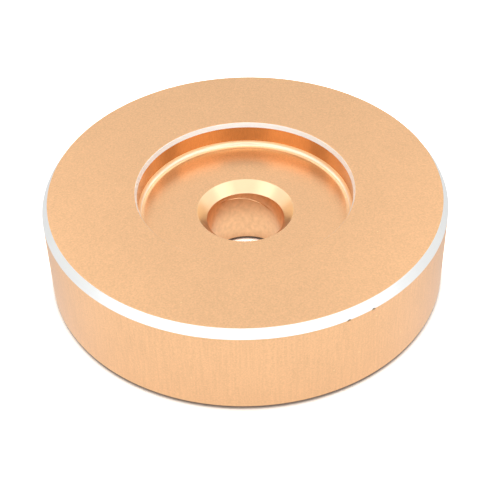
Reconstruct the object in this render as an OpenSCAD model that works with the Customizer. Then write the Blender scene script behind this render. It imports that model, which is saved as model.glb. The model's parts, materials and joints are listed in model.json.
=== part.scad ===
// Record spindle adapter, turned as one piece from aluminium bar.
// The disc fills the large centre hole of a record and its bore slides
// over the thin spindle. Its base rests on the platter, at z = 0, and its
// axis is the Z axis.

/* [Disc] */
// Diameter of the record's large centre hole
record_hole_d = 38.2; // [30:0.1:60]
// Gap all round between the disc's wall and the record's hole
record_clearance = 0.1; // [0.02:0.01:0.5]
// Height of the disc from its base to its top face
disc_h = 9.5; // [6:0.1:20]
// Width of the bright bevel round the top face, measured along the radius
rim_bevel_w = 0.55; // [0.1:0.05:2]
// Height of the bright bevel round the top face
rim_bevel_h = 0.8; // [0.1:0.05:2.5]
// Width and height of the small bevel round the base
base_bevel = 0.4; // [0.1:0.05:1.5]

/* [Recess] */
// Diameter of the recess in the top face, at its straight wall
recess_d = 20.3; // [14:0.1:32]
// Depth of the recess below the top face
recess_depth = 2.7; // [1.6:0.1:5]
// Width of the bright bevel at the recess mouth, measured along the radius
mouth_bevel_w = 0.17; // [0.05:0.01:1]
// Height of the bright bevel at the recess mouth
mouth_bevel_h = 0.47; // [0.05:0.01:1.5]
// Radius of the hollow fillet between the recess wall and its floor
foot_fillet_r = 0.6; // [0.2:0.05:2]

/* [Bore] */
// Diameter of the spindle that the bore slides over
spindle_d = 7.2; // [5:0.1:10]
// Gap all round between the bore's wall and the spindle
spindle_clearance = 0.1; // [0.02:0.01:0.5]
// Width of the countersink at the bore's mouth, measured along the radius
csink_w = 0.9; // [0.2:0.05:2.5]
// Depth of the countersink below the recess floor
csink_h = 1.05; // [0.2:0.05:3]
// Width and height of the small bevel where the bore meets the base
bore_base_bevel = 0.2; // [0.05:0.05:0.6]

/* [Hidden] */

disc_r = record_hole_d / 2 - record_clearance;
recess_r = recess_d / 2;
floor_z = disc_h - recess_depth;
bore_r = spindle_d / 2 + spindle_clearance;

// How far each cutting section runs past the face that it opens
overrun = 1;

$fn = 180;

// Outer section of the disc, from its axis to its wall, with both bevels.
module blank_section() {
    polygon([
        [0, 0],
        [disc_r - base_bevel, 0],
        [disc_r, base_bevel],
        [disc_r, disc_h - rim_bevel_h],
        [disc_r - rim_bevel_w, disc_h],
        [0, disc_h]
    ]);
}

// Section of the recess: flat floor, hollow fillet, straight wall and the
// bevel at its mouth, whose slope carries on past the top face.
module recess_section() {
    fillet_x = recess_r - foot_fillet_r;
    fillet_z = floor_z + foot_fillet_r;
    mouth_z = disc_h - mouth_bevel_h;
    slope = mouth_bevel_w / mouth_bevel_h;
    union() {
        polygon([
            [0, floor_z],
            [fillet_x, floor_z],
            [fillet_x, fillet_z],
            [recess_r, fillet_z],
            [recess_r, mouth_z],
            [recess_r + (mouth_bevel_h + overrun) * slope, disc_h + overrun],
            [0, disc_h + overrun]
        ]);
        translate([fillet_x, fillet_z]) circle(r = foot_fillet_r);
    }
}

// Section of the bore: the bevel at the base, the straight wall that the
// spindle fills and the countersink up to the recess floor.
module bore_section() {
    csink_z = floor_z - csink_h;
    slope = csink_w / csink_h;
    polygon([
        [0, -overrun],
        [bore_r + bore_base_bevel + overrun, -overrun],
        [bore_r, bore_base_bevel],
        [bore_r, csink_z],
        [bore_r + (csink_h + overrun) * slope, floor_z + overrun],
        [0, floor_z + overrun]
    ]);
}

module adapter_disc() {
    color("#efc093")
    rotate_extrude()
    difference() {
        blank_section();
        recess_section();
        bore_section();
    }
}

adapter_disc();
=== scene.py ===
import json
import math

import bpy
import numpy as np
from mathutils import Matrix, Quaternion, Vector


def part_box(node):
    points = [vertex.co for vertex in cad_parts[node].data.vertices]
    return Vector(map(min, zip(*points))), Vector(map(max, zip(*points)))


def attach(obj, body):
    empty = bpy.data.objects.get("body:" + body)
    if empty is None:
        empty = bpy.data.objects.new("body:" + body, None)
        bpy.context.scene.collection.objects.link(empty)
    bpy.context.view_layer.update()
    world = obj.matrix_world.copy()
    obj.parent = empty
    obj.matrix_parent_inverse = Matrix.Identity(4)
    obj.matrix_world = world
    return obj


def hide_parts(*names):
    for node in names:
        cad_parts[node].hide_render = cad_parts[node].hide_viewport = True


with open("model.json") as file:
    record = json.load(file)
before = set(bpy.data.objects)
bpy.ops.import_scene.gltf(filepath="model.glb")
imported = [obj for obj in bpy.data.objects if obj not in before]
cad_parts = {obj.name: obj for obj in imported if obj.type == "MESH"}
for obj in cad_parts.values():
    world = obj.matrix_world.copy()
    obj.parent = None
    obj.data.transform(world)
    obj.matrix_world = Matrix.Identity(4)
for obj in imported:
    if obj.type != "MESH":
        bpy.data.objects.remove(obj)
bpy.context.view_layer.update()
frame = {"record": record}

bl_info = {
    "name": "Record spindle adapter",
    "version": (1, 0, 0),
    "blender": (4, 5, 0),
    "location": "3D View > Sidebar > Adapter",
    "description": "Dresses a turned, anodised record spindle adapter and sets its studio",
    "category": "Object",
}

MM = 0.001
DISC_NODE = "adapter_disc"
PANEL_DISTANCE = 0.6
WHITE = (1.0, 1.0, 1.0, 1.0)

# The finishes, in the order of the disc's materials.
SATIN, RIM_CUT, WALL_TURNED, BORE_REAMED, FILLET_HIGHLIGHT, MOUTH_CUT, COUNTERSINK_HIGHLIGHT = range(7)

# Each soft panel: name, azimuths, elevation, and the width and height of its face in degrees.
# They leave a dark gap in front, over and under the narrow panel at the camera's height.
PANELS = (
    ("front_low", (0,), 15, 52, 18),
    ("front_high", (0,), 44, 36, 9),
    ("corner_low", (-50, 50), 15, 48, 18),
    ("corner_middle", (-50, 50), 35, 42, 14),
    ("side_low", (-95, 95), 8, 42, 16),
    ("side_middle", (-95, 95), 26, 40, 20),
    ("side_high", (-95, 95), 46, 34, 18),
    ("behind_side", (-126, 126), 34, 36, 26),
    ("back_low", (-132, 180, 132), 14, 48, 20),
    ("back", (180,), 40, 70, 26),
    ("back_corner", (-138, 138), 52, 30, 18),
    ("overhead", (0,), 89.9, 60, 60),
)
MOUNTS = {mount["name"]: mount for mount in frame["record"]["mounts"]}
DISC_RADIUS = MOUNTS["record_wall"]["dims"]["r_mm"] * MM
BORE_RADIUS = MOUNTS["spindle_bore"]["dims"]["r_mm"] * MM
DISC_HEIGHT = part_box(DISC_NODE)[1].z

# Steps of the arcs at the broken edges, at the lip of the recess mouth and at its foot.
EDGE_STEPS, LIP_STEPS, FILLET_STEPS = 3, 8, 20
# The bright cut takes the lip's later steps, and a painted highlight, a creamy colour, takes the
# fillet's upper ones.
SATIN_LIP_STEPS, HIGHLIGHT_FILLET_STEPS = 4, 12

# Angles, in degrees round the axis from +X, of the two nicks that the photo shows under the bevel.
NICK_ANGLES = (-56.0, -63.6)
NICK_REACH = 0.12 * MM
# The darkening round each nick: how far under the top face, its dark core and where it ends.
NICK_DARK_DROP, NICK_DARK_CORE, NICK_DARK_REACH = 0.85 * MM, 0.1 * MM, 0.22 * MM

# The slanting score in the bore: the height of its middle, how far it slants up and down, where
# it is highest and how far round it reaches, both as angles from the back.
SCORE_HEIGHT, SCORE_SLANT = 4.0 * MM, 1.31 * MM
SCORE_TURN, SCORE_REACH = math.radians(32), math.radians(55)
# Each row of the score: its place across the width and its share of the depth.
SCORE_ROWS = ((0.5, 0.0), (0.3, 0.3), (0.0, 1.0), (-0.3, 0.3), (-0.5, 0.0))


def linear(hex_colour):
    """Turns an sRGB hex colour into the linear colour that shaders use."""
    channels = [int(hex_colour[i : i + 2], 16) / 255 for i in (1, 3, 5)]
    return tuple(c / 12.92 if c <= 0.04045 else ((c + 0.055) / 1.055) ** 2.4 for c in channels)


def add_node(tree, kind, inputs=None, **settings):
    """Adds a node, sets its settings, and fills its inputs with numbers or other nodes' outputs."""
    node = tree.nodes.new(kind)
    for name, value in settings.items():
        setattr(node, name, value)
    for socket, value in (inputs or {}).items():
        if isinstance(value, bpy.types.NodeSocket):
            tree.links.new(value, node.inputs[socket])
        else:
            node.inputs[socket].default_value = value
    return node


def length(name, description, default_mm):
    """A size in a property group, written in millimetres and kept in metres."""
    return bpy.props.FloatProperty(
        name=name, description=description, default=default_mm * MM,
        min=0.0, unit="LENGTH", subtype="DISTANCE", precision=5,
    )


def colour(name, description, default_hex):
    """A colour in a property group, written as sRGB hex."""
    return bpy.props.FloatVectorProperty(
        name=name, description=description, default=linear(default_hex),
        min=0.0, max=1.0, size=3, subtype="COLOR",
    )


def roughness(name, description, default):
    """How far a metal finish spreads a reflection, from 0, a mirror, to 1."""
    return bpy.props.FloatProperty(
        name=name, description=description, default=default, min=0.0, max=1.0, subtype="FACTOR"
    )


def radiance(name, description, default):
    """How bright a lamp's face looks, where 1 is white."""
    return bpy.props.FloatProperty(name=name, description=description, default=default, min=0.0)


class AdapterSizes(bpy.types.PropertyGroup):
    """Sizes of the turned section that the frame doesn't give."""

    rim_bevel_width: length("Rim bevel width", "Bevel round the top face, along the radius", 0.55)
    rim_bevel_height: length("Rim bevel height", "Bevel round the top face, along the axis", 0.8)
    base_bevel: length("Base bevel", "Bevel round the base", 0.4)
    recess_radius: length("Recess radius", "Radius of the recess wall", 10.15)
    recess_depth: length("Recess depth", "From the top face down to the recess floor", 2.7)
    mouth_bevel_width: length("Mouth bevel width", "Recess mouth's bevel, along the radius", 0.17)
    mouth_bevel_height: length("Mouth bevel height", "Recess mouth's bevel, along the axis", 0.47)
    foot_fillet: length("Foot fillet", "Radius of the fillet at the foot of the recess wall", 0.6)
    countersink_width: length("Countersink width", "Countersink, along the radius", 0.9)
    countersink_height: length("Countersink height", "Countersink, along the axis", 1.05)
    bore_base_bevel: length("Bore base bevel", "Bevel where the bore meets the base", 0.2)
    edge_break: length("Edge break", "Radius left on every turned corner", 0.03)
    lip_radius: length("Lip radius", "Radius where the mouth bevel meets the top face", 0.06)
    score_depth: length("Score depth", "Depth of the slanting tool score in the bore", 0.13)
    score_width: length("Score width", "Width of the slanting tool score in the bore", 0.22)
    nick_depth: length("Nick depth", "Depth of the two nicks under the rim bevel", 0.1)
    columns: bpy.props.IntProperty(
        name="Columns", description="Steps round the axis", default=720, min=64, max=1024
    )


class AdapterFinish(bpy.types.PropertyGroup):
    """Colours and roughnesses of the finishes."""

    gold: colour("Anodised gold", "The dyed oxide layer on the metal", "#F5C393")
    # Its darker, more orange tone on the recess wall is painted shade.
    deep: colour("Deep gold", "The oxide on the finely turned recess wall", "#F5B57D")
    # The fillet's creamy colour is a painted highlight.
    pale: colour("Pale gold", "The oxide on the fillet at the foot of the recess wall", "#FDE8CA")
    # The countersink's creamy colour is a painted highlight.
    countersunk: colour("Countersink gold", "The oxide on the countersink", "#F8D9AF")
    bare: colour("Bare aluminium", "The bright-cut bevels", "#FAFBFA")
    satin_roughness: roughness("Satin roughness", "The blasted and anodised faces", 0.32)
    cut_roughness: roughness("Cut roughness", "The rim bevel, the fillet and the countersink", 0.36)
    mouth_roughness: roughness("Mouth roughness", "The bevel at the recess mouth", 0.58)
    wall_roughness: roughness("Wall roughness", "The finely turned recess wall", 0.17)
    bore_roughness: roughness("Bore roughness", "The reamed bore", 0.28)


class AdapterStudio(bpy.types.PropertyGroup):
    """The camera, lamps and floor."""

    camera_distance: length("Camera distance", "From the centre of the base to the lens", 117.5)
    camera_elevation: bpy.props.FloatProperty(
        name="Camera elevation", description="Height angle of the lens seen from the base",
        default=math.radians(42.443), subtype="ANGLE",
    )
    camera_roll: bpy.props.FloatProperty(
        name="Camera roll", description="Turn of the camera about its view line",
        default=math.radians(-1.322), subtype="ANGLE",
    )
    aim: bpy.props.FloatVectorProperty(
        name="Aim", description="Point on the middle plane that the lens looks at",
        default=(0.348 * MM, 0.0, 1.583 * MM), size=3, unit="LENGTH", subtype="TRANSLATION",
    )
    sensor_mm: bpy.props.FloatProperty(
        name="Sensor", description="Width of the sensor in millimetres", default=36.0, min=1.0
    )
    lens_mm: bpy.props.FloatProperty(
        name="Lens", description="Focal length in millimetres on the sensor", default=85.4, min=10.0
    )
    floor_radius: length("Floor radius", "Radius of the pale floor", 1500.0)
    sky_strength: bpy.props.FloatProperty(
        name="Sky strength", description="Even light all round", default=0.03, min=0.0
    )
    front_low: radiance("Front low", "The low panel in front, under the camera", 2.0)
    front_high: radiance("Front high", "The narrow panel in front, at the camera's height", 3.0)
    corner_low: radiance("Corners low", "The low panels at the front corners", 1.25)
    corner_middle: radiance("Corners middle", "The raised panels at the front corners", 2.8)
    side_low: radiance("Sides low", "The low panels at the sides", 0.7)
    side_middle: radiance("Sides middle", "The raised panels at the sides", 1.2)
    side_high: radiance("Sides high", "The high panels at the sides", 0.8)
    behind_side: radiance("Behind the sides", "The raised panels between sides and back", 0.8)
    back_low: radiance("Back low", "The low panels behind and at the back corners", 0.8)
    back: radiance("Back", "The wide panel behind", 0.88)
    back_corner: radiance("Back corners", "The high panels at the back corners", 1.2)
    overhead: radiance("Overhead", "The square panel straight above", 1.7)


def rounded_section(corners, radii, steps):
    """Replaces each corner of a closed section by an arc that touches both its sides.

    The arc's centre lies on the corner's bisector, at radius over the sine of half the
    angle between the sides, and each point is the centre plus the radius times a
    direction that turns evenly from one side's normal to the other's. Returns the
    points, their outward normals and the number of the corner that each belongs to.
    """
    corners = np.asarray(corners, float)
    before = corners - np.roll(corners, 1, axis=0)
    after = np.roll(corners, -1, axis=0) - corners
    before /= np.linalg.norm(before, axis=1)[:, None]
    after /= np.linalg.norm(after, axis=1)[:, None]
    turn = np.arctan2(
        before[:, 0] * after[:, 1] - before[:, 1] * after[:, 0], (before * after).sum(1)
    )
    setback = np.asarray(radii) * np.tan(np.abs(turn) / 2)
    points, normals, owners = [], [], []
    for i, corner in enumerate(corners):
        side = np.sign(turn[i])
        outward = np.array([before[i, 1], -before[i, 0]])
        centre = corner - before[i] * setback[i] - side * outward * radii[i]
        angles = np.linspace(0.0, turn[i], steps[i] + 1)
        directions = np.stack(
            [
                outward[0] * np.cos(angles) - outward[1] * np.sin(angles),
                outward[0] * np.sin(angles) + outward[1] * np.cos(angles),
            ],
            axis=1,
        )
        points.append(centre + side * radii[i] * directions)
        normals.append(directions)
        owners.append(np.full(steps[i] + 1, i))
    return np.concatenate(points), np.concatenate(normals), np.concatenate(owners)


def turned_section(sizes):
    """The disc's section in (radius, height), anticlockwise from the bore's foot.

    Returns the rounded points, their normals, the finish of the side that leads from each point
    to the next, the rows of the edge under the rim bevel and the rows left for the score.
    """
    top = DISC_HEIGHT
    floor = top - sizes.recess_depth
    # Each corner's name and place, and the finish of the side that follows it.
    profile = (
        ("base_inner", BORE_RADIUS + sizes.bore_base_bevel, 0.0, SATIN),
        ("base_outer", DISC_RADIUS - sizes.base_bevel, 0.0, SATIN),
        ("wall_foot", DISC_RADIUS, sizes.base_bevel, SATIN),
        ("wall_top", DISC_RADIUS, top - sizes.rim_bevel_height, RIM_CUT),
        ("rim", DISC_RADIUS - sizes.rim_bevel_width, top, SATIN),
        ("lip", sizes.recess_radius + sizes.mouth_bevel_width, top, MOUTH_CUT),
        ("recess_top", sizes.recess_radius, top - sizes.mouth_bevel_height, WALL_TURNED),
        ("recess_foot", sizes.recess_radius, floor, SATIN),
        ("countersink_rim", BORE_RADIUS + sizes.countersink_width, floor, COUNTERSINK_HIGHLIGHT),
        ("bore_mouth", BORE_RADIUS, floor - sizes.countersink_height, BORE_REAMED),
        ("bore_foot", BORE_RADIUS, sizes.bore_base_bevel, SATIN),
    )
    names, radial, heights, finish_after = zip(*profile)
    radii = dict.fromkeys(names, sizes.edge_break)
    radii |= {"lip": sizes.lip_radius, "recess_foot": sizes.foot_fillet}
    steps = dict.fromkeys(names, EDGE_STEPS) | {"lip": LIP_STEPS, "recess_foot": FILLET_STEPS}
    points, normals, owners = rounded_section(
        list(zip(radial, heights)), [radii[name] for name in names], [steps[name] for name in names]
    )

    def rows_of(name):
        return np.flatnonzero(owners == names.index(name))

    finishes = np.array(finish_after)[owners]
    finishes[rows_of("lip")[:SATIN_LIP_STEPS]] = SATIN
    finishes[rows_of("recess_foot")[:HIGHLIGHT_FILLET_STEPS]] = FILLET_HIGHLIGHT

    count = len(SCORE_ROWS)
    score_rows = rows_of("bore_mouth")[-1] + 1 + np.arange(count)
    halfway = [[BORE_RADIUS, DISC_HEIGHT / 2 - i * 0.1 * MM] for i in range(count)]
    points = np.insert(points, [score_rows[0]] * count, halfway, axis=0)
    normals = np.insert(normals, [score_rows[0]] * count, [[-1.0, 0.0]] * count, axis=0)
    finishes = np.insert(finishes, [score_rows[0]] * count, BORE_REAMED)
    return points, normals, finishes, rows_of("wall_top"), score_rows


def score_the_bore(vertices, normals, rows, angles, sizes):
    """Lays rows of the grid along a slanting score in the bore and sinks the inner ones.

    The score lies in a tilted plane, so its height is its middle's plus the slant times the
    cosine of the angle from its highest point. Its depth fades as a raised cosine, from the
    back to nothing at its reach. The flanks' normals come from the grid itself: round the
    axis crossed with up the bore.
    """
    from_back = math.pi / 2 - angles
    middle = SCORE_HEIGHT + SCORE_SLANT * np.cos(from_back + SCORE_TURN)
    fade = np.arctan2(np.sin(from_back), np.cos(from_back)) / SCORE_REACH
    depth = sizes.score_depth * np.where(np.abs(fade) < 1, 0.5 + 0.5 * np.cos(math.pi * fade), 0.0)
    for row, (side, share) in zip(rows, SCORE_ROWS):
        radius = BORE_RADIUS + depth * share
        vertices[row, :, 0] = radius * np.cos(angles)
        vertices[row, :, 1] = radius * np.sin(angles)
        vertices[row, :, 2] = middle + side * sizes.score_width
    for row in rows[1:-1]:
        round_axis = np.roll(vertices[row], -1, axis=0) - np.roll(vertices[row], 1, axis=0)
        slope = np.cross(round_axis, vertices[row + 1] - vertices[row - 1])
        normals[row] = slope / np.linalg.norm(slope, axis=1)[:, None]


def nick_the_edge(vertices, rows, angles, depth):
    """Pushes the edge under the rim bevel in towards the axis at each nick.

    The push is the depth times exp(-(distance along the edge / the nick's reach) squared).
    """
    push = np.zeros_like(angles)
    for nick in NICK_ANGLES:
        away = np.angle(np.exp(1j * (angles - math.radians(nick)))) * DISC_RADIUS
        push += depth * np.exp(-((away / NICK_REACH) ** 2))
    vertices[rows, :, :2] *= (1 - push / DISC_RADIUS)[None, :, None]


def revolve(name, points, normals, finishes, columns, wear):
    """Carries a closed section round the Z axis, lets wear mark the grid, and returns the mesh.

    Column j stands at angle 2 pi j / columns, and row i of it is the section's point
    i at (radius cos angle, radius sin angle, height). U runs once round the axis
    and V runs once along the section by its length.
    """
    rows = len(points)
    angles = np.linspace(0.0, 2 * math.pi, columns, endpoint=False)
    around = np.stack([np.cos(angles), np.sin(angles)], axis=1)
    vertices = np.empty((rows, columns, 3))
    vertices[:, :, :2] = points[:, 0, None, None] * around[None]
    vertices[:, :, 2] = points[:, 1, None]
    vertex_normals = np.empty_like(vertices)
    vertex_normals[:, :, :2] = normals[:, 0, None, None] * around[None]
    vertex_normals[:, :, 2] = normals[:, 1, None]
    wear(vertices, vertex_normals, angles)

    row, column = np.meshgrid(np.arange(rows), np.arange(columns), indexing="ij")
    next_row, next_column = (row + 1) % rows, (column + 1) % columns
    quads = np.stack(
        [
            row * columns + column,
            row * columns + next_column,
            next_row * columns + next_column,
            next_row * columns + column,
        ],
        axis=-1,
    ).reshape(-1, 4)

    steps = np.linalg.norm(np.roll(points, -1, axis=0) - points, axis=1)
    along = np.concatenate([[0.0], np.cumsum(steps)]) / steps.sum()
    u0, u1 = column / columns, (column + 1) / columns
    v0, v1 = along[row], along[row + 1]
    corners = ((u0, v0), (u1, v0), (u1, v1), (u0, v1))
    uvs = np.stack([np.stack(corner, -1) for corner in corners], axis=-2)

    mesh = bpy.data.meshes.new(name)
    mesh.vertices.add(rows * columns)
    mesh.vertices.foreach_set("co", vertices.ravel())
    mesh.loops.add(quads.size)
    mesh.loops.foreach_set("vertex_index", quads.ravel())
    mesh.polygons.add(len(quads))
    mesh.polygons.foreach_set("loop_start", np.arange(0, quads.size, 4))
    mesh.polygons.foreach_set("material_index", np.repeat(finishes, columns))
    mesh.update(calc_edges=True)
    mesh.uv_layers.new(name="turned").uv.foreach_set("vector", uvs.ravel())
    mesh.shade_smooth()
    mesh.normals_split_custom_set_from_vertices(vertex_normals.reshape(-1, 3))
    return mesh


def new_material(name):
    """A node material with an empty tree, and that tree."""
    material = bpy.data.materials.new(name)
    material.use_nodes = True
    material.node_tree.nodes.clear()
    return material, material.node_tree


def object_place(tree):
    """The place of the shaded point in the object's own space, in metres."""
    return add_node(tree, "ShaderNodeTexCoord").outputs["Object"]


def noise(tree, place, per_mm, stretch=(1.0, 1.0, 1.0), detail=2.0):
    """Noise in object space with so many grains to the millimetre, stretched along an axis."""
    stretched = add_node(tree, "ShaderNodeMapping", {"Vector": place, "Scale": stretch}).outputs[0]
    return add_node(
        tree, "ShaderNodeTexNoise", {"Vector": stretched, "Scale": per_mm / MM, "Detail": detail}
    ).outputs[0]


def ranged(tree, value, low, high, from_low=0.3, from_high=0.7):
    """Maps a value from one range onto another and holds it there. Noise fills 0.3 to 0.7."""
    return add_node(
        tree, "ShaderNodeMapRange", {0: value, 1: from_low, 2: from_high, 3: low, 4: high}
    ).outputs[0]


def times(tree, a, b):
    """One number times another."""
    return add_node(tree, "ShaderNodeMath", {0: a, 1: b}, operation="MULTIPLY").outputs[0]


def larger(tree, a, b):
    """The larger of two numbers."""
    return add_node(tree, "ShaderNodeMath", {0: a, 1: b}, operation="MAXIMUM").outputs[0]


def distance_from(tree, place, spot):
    """The distance from a fixed spot."""
    return add_node(
        tree, "ShaderNodeVectorMath", {0: place, 1: spot}, operation="DISTANCE"
    ).outputs["Value"]


def tinted(tree, colour, strength):
    """A colour times a strength."""
    return add_node(
        tree, "ShaderNodeVectorMath", {0: tuple(colour), "Scale": strength}, operation="SCALE"
    ).outputs[0]


def mixed(tree, share, first, second):
    """A blend of two surfaces, where a share of 1 is all the second."""
    return add_node(tree, "ShaderNodeMixShader", {0: share, 1: first, 2: second}).outputs[0]


def metal(tree, colour, roughness, **more):
    """Ends a tree in a metal surface of one colour and roughness."""
    surface = add_node(
        tree, "ShaderNodeBsdfPrincipled",
        {"Base Color": colour, "Metallic": 1.0, "Roughness": roughness, **more},
    )
    add_node(tree, "ShaderNodeOutputMaterial", {"Surface": surface.outputs[0]})


def satin_anodised(finish):
    """Aluminium blasted to a satin, dyed gold and sealed: an even metal sheen.

    Fine grains and, on the wall, faint upright streaks, a painted reflection of the turning
    grooves, keep it from looking like paint; a few grains carry painted glints, and the colour is
    darkened round the two nicks under the rim bevel.
    """
    material, tree = new_material("satin_gold_anodised_aluminium")
    place = object_place(tree)
    grain = noise(tree, place, per_mm=7.0)
    # Faint upright streaks painted into the colour: a painted reflection of the turning grooves'
    # streaked sheen.
    streaks = noise(tree, place, per_mm=6.0, stretch=(1.0, 1.0, 0.05), detail=1.0)
    clouds = noise(tree, place, per_mm=0.25)
    strength = times(tree, ranged(tree, grain, 0.93, 1.07), ranged(tree, streaks, 0.97, 1.03))
    strength = times(tree, strength, ranged(tree, clouds, 0.985, 1.015))
    for nick in NICK_ANGLES:
        around = math.radians(nick)
        spot = (
            DISC_RADIUS * math.cos(around), DISC_RADIUS * math.sin(around), DISC_HEIGHT - NICK_DARK_DROP
        )
        away = distance_from(tree, place, spot)
        # The colour is darkened round each nick, down to 0.12 of the gold at its core.
        nick_darkening = ranged(tree, away, 0.12, 1.0, from_low=NICK_DARK_CORE, from_high=NICK_DARK_REACH)
        strength = times(tree, strength, nick_darkening)
    # Painted glints: grains near the middles of tiny cells are painted up to 1.35 times brighter
    # than the gold.
    cells = add_node(tree, "ShaderNodeTexVoronoi", {"Vector": place, "Scale": 0.45 / MM})
    painted_glints = ranged(tree, cells.outputs["Distance"], 1.35, 1.0, from_low=0.02, from_high=0.045)
    bump = add_node(
        tree, "ShaderNodeBump", {"Strength": 0.25, "Distance": 0.01 * MM, "Height": grain}
    )
    gold = tinted(tree, finish.gold, times(tree, strength, painted_glints))
    metal(tree, gold, finish.satin_roughness, Normal=bump.outputs[0])
    return material


def cut_edge(name, colour, roughness):
    """A plain cut edge of one colour and roughness, which shows as one clean band."""
    material, tree = new_material(name)
    metal(tree, (*colour, 1.0), roughness)
    return material


def fine_turned(finish):
    """The recess wall: finely turned and shinier than the faces; its darker, deeper colour is
    painted shade.
    """
    material, tree = new_material("fine_turned_gold_painted_shade")
    streaks = noise(tree, object_place(tree), per_mm=8.0, stretch=(1.0, 1.0, 0.2))
    # Painted shade: the wall's gold is painted at 0.59 to 0.67 of its colour, with streaks of
    # painted reflection.
    metal(tree, tinted(tree, finish.deep, ranged(tree, streaks, 0.59, 0.67)), finish.wall_roughness)
    return material


def reamed_bore(finish):
    """The bore's wall: a little mottled, so its reflection of the paper looks soft."""
    material, tree = new_material("reamed_gold_anodised_aluminium")
    mottle = noise(tree, object_place(tree), per_mm=2.5, stretch=(1.0, 1.0, 0.8), detail=4.0)
    metal(tree, tinted(tree, finish.gold, ranged(tree, mottle, 0.86, 1.04)), finish.bore_roughness)
    return material


def seen_paper(tree, from_axis, outside):
    """The paper as the camera sees it: white, with a painted contact shadow, a dark line where it
    meets the disc.
    """
    # Painted shadow: an occlusion test darkens the paper's colour close to the disc.
    contact = add_node(tree, "ShaderNodeAmbientOcclusion", {"Distance": 1.1 * MM}, samples=8)
    open_paper = ranged(tree, contact.outputs["AO"], 0.02, 1.6, from_low=0.25, from_high=0.75)
    # In the bore the paper is painted brighter in the middle, and painted shade darkens it towards
    # the bore's wall.
    bore_paper = ranged(
        tree, from_axis, 2.5, 0.2,
        from_low=BORE_RADIUS - 0.35 * MM, from_high=BORE_RADIUS - 0.05 * MM,
    )
    brightness = larger(tree, times(tree, outside, open_paper), bore_paper)
    return add_node(
        tree, "ShaderNodeBsdfDiffuse", {"Color": tinted(tree, WHITE[:3], brightness)}
    ).outputs[0]


def reflected_paper(tree, place, outside):
    """The paper's glow as the metal sees it.

    Outside the disc it is white, with painted shade that dims it from in front of the disc towards
    its back. In the bore it is a painted pool of light, white in a spot behind the axis, and away
    from that spot it is as gold as the walls, a painted reflection of light bounced off them.
    """
    # Painted light in the bore: a white spot behind the axis, fading to painted gold bounce light.
    behind_axis = (0.0, 0.35 * BORE_RADIUS, 0.0)
    spot = ranged(
        tree, distance_from(tree, place, behind_axis), 1.0, 0.0,
        from_low=0.35 * BORE_RADIUS, from_high=BORE_RADIUS,
    )
    glow_colour = add_node(
        tree, "ShaderNodeMix",
        {0: larger(tree, outside, spot), 6: (0.42, 0.2, 0.08, 1.0), 7: WHITE}, data_type="RGBA",
    )
    # Painted shade: the glow dims to 0.6 towards the back, and is raised to 1.3 in the bore.
    towards_back = add_node(tree, "ShaderNodeSeparateXYZ", {"Vector": place}).outputs["Y"]
    dimmed = ranged(tree, towards_back, 1.0, 0.6, from_low=-12.0 * MM, from_high=4.0 * MM)
    in_bore = ranged(tree, outside, 1.3, 0.0, from_low=0.0, from_high=1.0)
    strength = larger(tree, times(tree, outside, dimmed), in_bore)
    return add_node(
        tree, "ShaderNodeEmission", {"Color": glow_colour.outputs[2], "Strength": strength}
    ).outputs[0]


def pale_floor():
    """White paper on a light table.

    It renders white to the camera, keeps the object's shadow and adds a painted contact shadow, and
    the metal sees it glow, with painted shade dimming it beside and behind the disc. Other light
    meets plain white paper.
    """
    material, tree = new_material("white_paper_on_light_table")
    path = add_node(tree, "ShaderNodeLightPath")
    place = object_place(tree)
    from_axis = distance_from(tree, place, (0.0, 0.0, 0.0))
    outside = ranged(
        tree, from_axis, 0.0, 1.0,
        from_low=BORE_RADIUS + 0.4 * MM, from_high=BORE_RADIUS + 0.5 * MM,
    )
    paper = add_node(tree, "ShaderNodeBsdfDiffuse", {"Color": (0.9, 0.9, 0.9, 1.0)}).outputs[0]
    glow_share = times(tree, path.outputs["Is Glossy Ray"], 0.7)
    unseen = mixed(tree, glow_share, paper, reflected_paper(tree, place, outside))
    seen = seen_paper(tree, from_axis, outside)
    surface = mixed(tree, path.outputs["Is Camera Ray"], unseen, seen)
    add_node(tree, "ShaderNodeOutputMaterial", {"Surface": surface})
    return material


def floor_mesh(radius):
    """A flat square at height zero, facing up, that reaches so far from the axis."""
    mesh = bpy.data.meshes.new("studio_floor")
    corners = [(x * radius, y * radius, 0) for x, y in ((-1, -1), (1, -1), (1, 1), (-1, 1))]
    mesh.from_pydata(corners, [], [(0, 1, 2, 3)])
    return mesh


def link(name, data):
    """Puts new data into the scene as an object at the origin."""
    thing = bpy.data.objects.new(name, data)
    bpy.context.scene.collection.objects.link(thing)
    return thing


def aim_at(thing, place, target, roll=0.0):
    """Stands a camera or lamp at a place, looking at a target, turned by roll about that line."""
    thing.location = place
    look = (Vector(target) - Vector(place)).to_track_quat("-Z", "Y")
    thing.rotation_mode = "QUATERNION"
    thing.rotation_quaternion = look @ Quaternion((0, 0, 1), roll)


def soft_panel(name, azimuth, elevation, wide, high, radiance_wanted):
    """A flat lamp that faces the object and spans wide by high degrees as seen from it.

    Azimuth 0 stands in front of the object and 90 at its right. A side is twice the
    distance times the tangent of half its angle, and the power that gives a face its
    radiance is pi times the radiance times the area.
    """
    lamp = bpy.data.lights.new(name, "AREA")
    lamp.shape = "RECTANGLE"
    lamp.size = 2 * PANEL_DISTANCE * math.tan(math.radians(wide / 2))
    lamp.size_y = 2 * PANEL_DISTANCE * math.tan(math.radians(high / 2))
    lamp.energy = math.pi * radiance_wanted * lamp.size * lamp.size_y
    around, up = math.radians(azimuth), math.radians(elevation)
    place = PANEL_DISTANCE * Vector(
        (math.sin(around) * math.cos(up), -math.cos(around) * math.cos(up), math.sin(up))
    )
    aim_at(link(name, lamp), place, (0, 0, 0))


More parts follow.
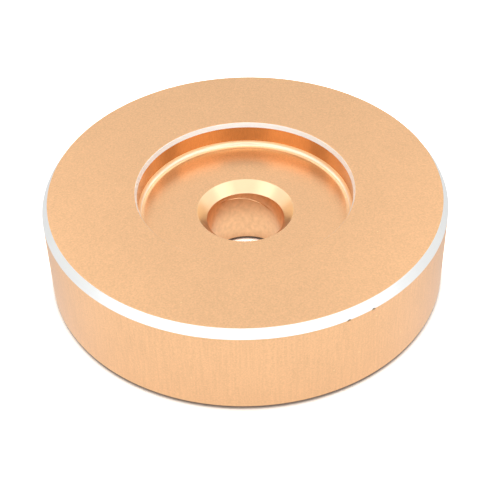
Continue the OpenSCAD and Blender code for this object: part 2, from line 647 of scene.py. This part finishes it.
class ADAPTER_OT_turned_disc(bpy.types.Operator):
    """Turns the disc from its section and gives it its finishes"""

    bl_idname = "adapter.turned_disc"
    bl_label = "Turned disc"

    def execute(self, context):
        sizes, finish = context.scene.adapter_sizes, context.scene.adapter_finish
        points, normals, finishes, edge_rows, score_rows = turned_section(sizes)

        def wear(vertices, vertex_normals, angles):
            score_the_bore(vertices, vertex_normals, score_rows, angles, sizes)
            nick_the_edge(vertices, edge_rows, angles, sizes.nick_depth)

        mesh = revolve("turned_disc", points, normals, finishes, sizes.columns, wear)
        if mesh.validate():
            raise RuntimeError("the turned section doesn't close into a clean mesh")
        # The rim is cut clean and bright, the narrow mouth bevel is a little coarser and so catches
        # light from all round, and the fillet and the countersink are painted creamy: a painted
        # highlight.
        for finished in (
            satin_anodised(finish),
            cut_edge("bright_cut_aluminium_rim", finish.bare, finish.cut_roughness),
            fine_turned(finish),
            reamed_bore(finish),
            cut_edge("fillet_painted_highlight", finish.pale, finish.cut_roughness),
            cut_edge("bright_cut_aluminium_mouth", finish.bare, finish.mouth_roughness),
            cut_edge("countersink_painted_highlight", finish.countersunk, finish.cut_roughness),
        ):
            mesh.materials.append(finished)
        disc = link("turned_disc", mesh)
        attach(disc, "root")
        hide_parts(DISC_NODE)
        return {"FINISHED"}


class ADAPTER_OT_studio(bpy.types.Operator):
    """Sets the floor, the soft lamps and the camera"""

    bl_idname = "adapter.studio"
    bl_label = "Studio"

    def execute(self, context):
        scene, studio = context.scene, context.scene.adapter_studio
        floor = link("studio_floor", floor_mesh(studio.floor_radius))
        floor.data.materials.append(pale_floor())

        world = bpy.data.worlds.new("studio")
        world.use_nodes = True
        tree = world.node_tree
        tree.nodes.clear()
        path = add_node(tree, "ShaderNodeLightPath")
        sky, white = (
            add_node(tree, "ShaderNodeBackground", {"Color": WHITE, "Strength": strength})
            for strength in (studio.sky_strength, 1.0)
        )
        seen = mixed(tree, path.outputs["Is Camera Ray"], sky.outputs[0], white.outputs[0])
        add_node(tree, "ShaderNodeOutputWorld", {"Surface": seen})
        scene.world = world

        for name, azimuths, elevation, wide, high in PANELS:
            for azimuth in azimuths:
                soft_panel(name, azimuth, elevation, wide, high, getattr(studio, name))

        camera = bpy.data.cameras.new("camera")
        camera.lens = studio.lens_mm
        camera.sensor_width = studio.sensor_mm
        camera.clip_start = 0.001
        distance, elevation = studio.camera_distance, studio.camera_elevation
        place = (0.0, -distance * math.cos(elevation), distance * math.sin(elevation))
        eye = link("camera", camera)
        aim_at(eye, place, studio.aim, studio.camera_roll)
        scene.camera = eye
        scene.view_settings.view_transform = "Standard"
        return {"FINISHED"}


class ADAPTER_PT_panel(bpy.types.Panel):
    """Lists the adapter's sizes, finishes and studio"""

    bl_label = "Record spindle adapter"
    bl_idname = "ADAPTER_PT_panel"
    bl_space_type = "VIEW_3D"
    bl_region_type = "UI"
    bl_category = "Adapter"

    def draw(self, context):
        groups = (
            (context.scene.adapter_sizes, AdapterSizes, ADAPTER_OT_turned_disc),
            (context.scene.adapter_finish, AdapterFinish, None),
            (context.scene.adapter_studio, AdapterStudio, ADAPTER_OT_studio),
        )
        for values, group, operator in groups:
            box = self.layout.box()
            for name in group.__annotations__:
                box.prop(values, name)
            if operator:
                box.operator(operator.bl_idname)


CLASSES = (
    AdapterSizes,
    AdapterFinish,
    AdapterStudio,
    ADAPTER_OT_turned_disc,
    ADAPTER_OT_studio,
    ADAPTER_PT_panel,
)


def register():
    for cls in CLASSES:
        bpy.utils.register_class(cls)
    bpy.types.Scene.adapter_sizes = bpy.props.PointerProperty(type=AdapterSizes)
    bpy.types.Scene.adapter_finish = bpy.props.PointerProperty(type=AdapterFinish)
    bpy.types.Scene.adapter_studio = bpy.props.PointerProperty(type=AdapterStudio)


def unregister():
    del bpy.types.Scene.adapter_studio
    del bpy.types.Scene.adapter_finish
    del bpy.types.Scene.adapter_sizes
    for cls in reversed(CLASSES):
        bpy.utils.unregister_class(cls)


def main():
    register()
    bpy.ops.adapter.turned_disc()
    bpy.ops.adapter.studio()


if __name__ == "__main__":
    main()
